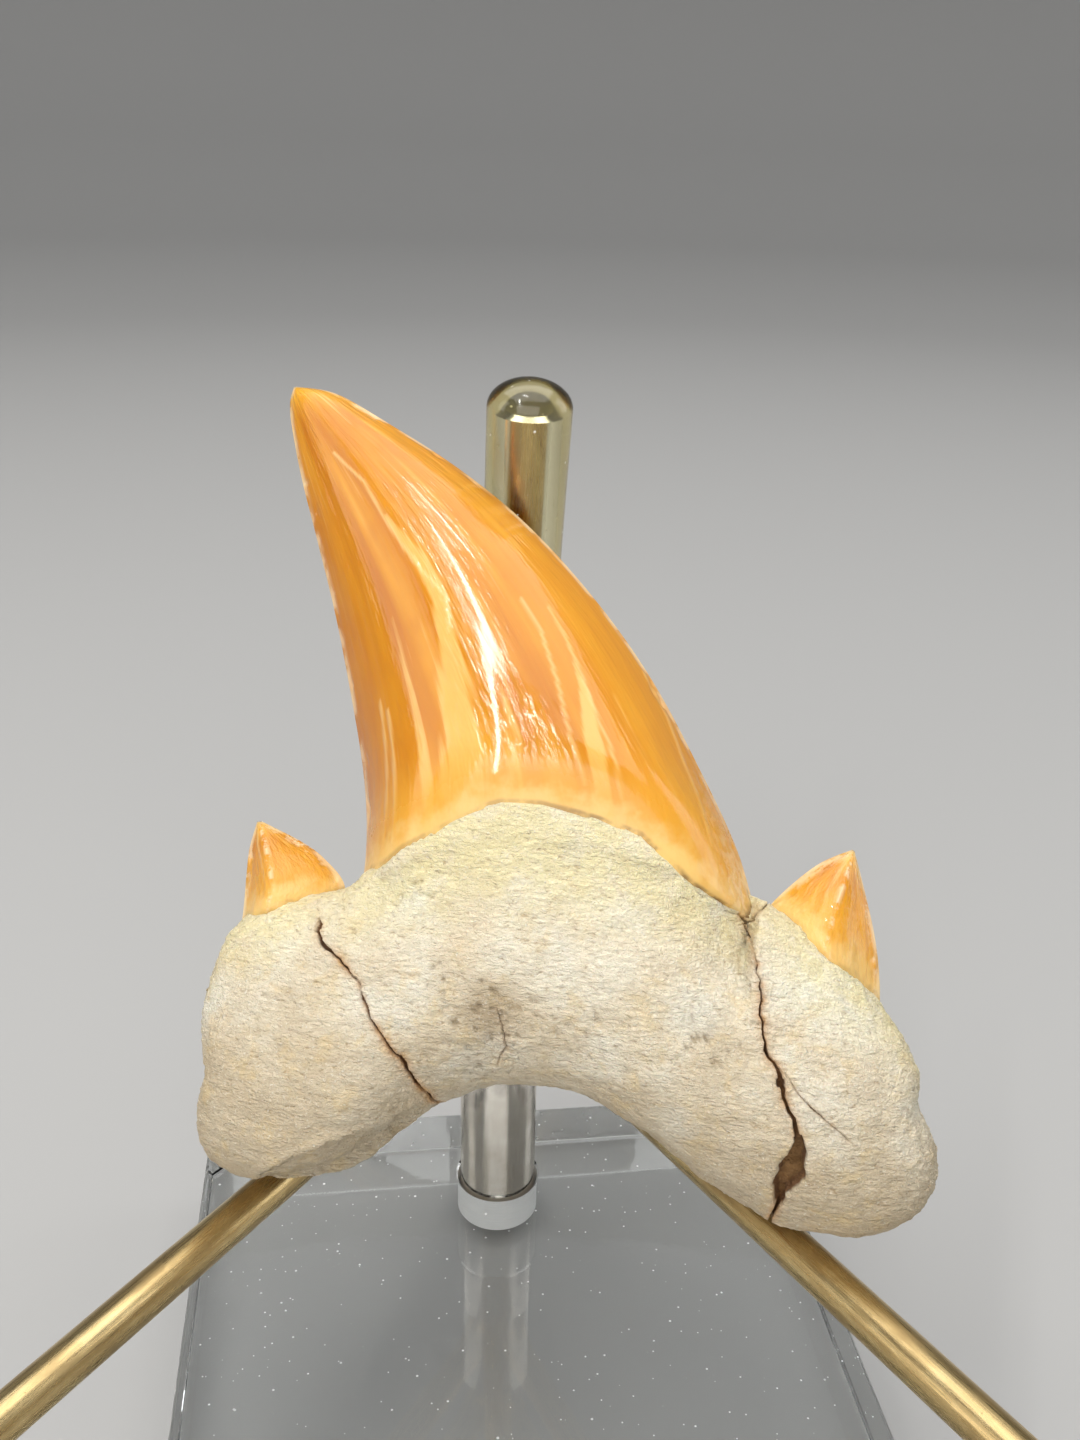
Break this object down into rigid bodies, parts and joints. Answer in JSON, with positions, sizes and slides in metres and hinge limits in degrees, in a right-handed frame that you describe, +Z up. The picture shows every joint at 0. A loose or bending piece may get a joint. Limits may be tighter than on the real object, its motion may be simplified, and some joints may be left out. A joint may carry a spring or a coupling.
{
  "type": "fossil shark tooth on display stand",
  "caption": "Curved fossil shark tooth with side cusplets and a forked root, resting on brass rods that spread from a steel post in a clear square slab.",
  "frame": {"origin": "centre of the clear slab's underside", "axes": "+Z up, the front face of the tooth looks towards -Y, +X to the right as seen from the front"},
  "size_m": [0.0844, 0.084, 0.0955],
  "materials": {
    "fossil": "glossy enamel crown on a dull grainy root",
    "clear_acrylic": "polished and see-through",
    "polished_steel": "polished",
    "brass": "lightly brushed along the rod",
    "clear_vinyl": "soft, smooth and see-through"
  },
  "bodies": {
    "root": {"tooth": "fossil", "base": "clear_acrylic", "post": "polished_steel", "left_arm": "brass", "right_arm": "brass", "back_rod": "brass", "back_cap": "clear_vinyl", "left_cap": "clear_vinyl", "right_cap": "clear_vinyl"}
  },
  "joints": []
}
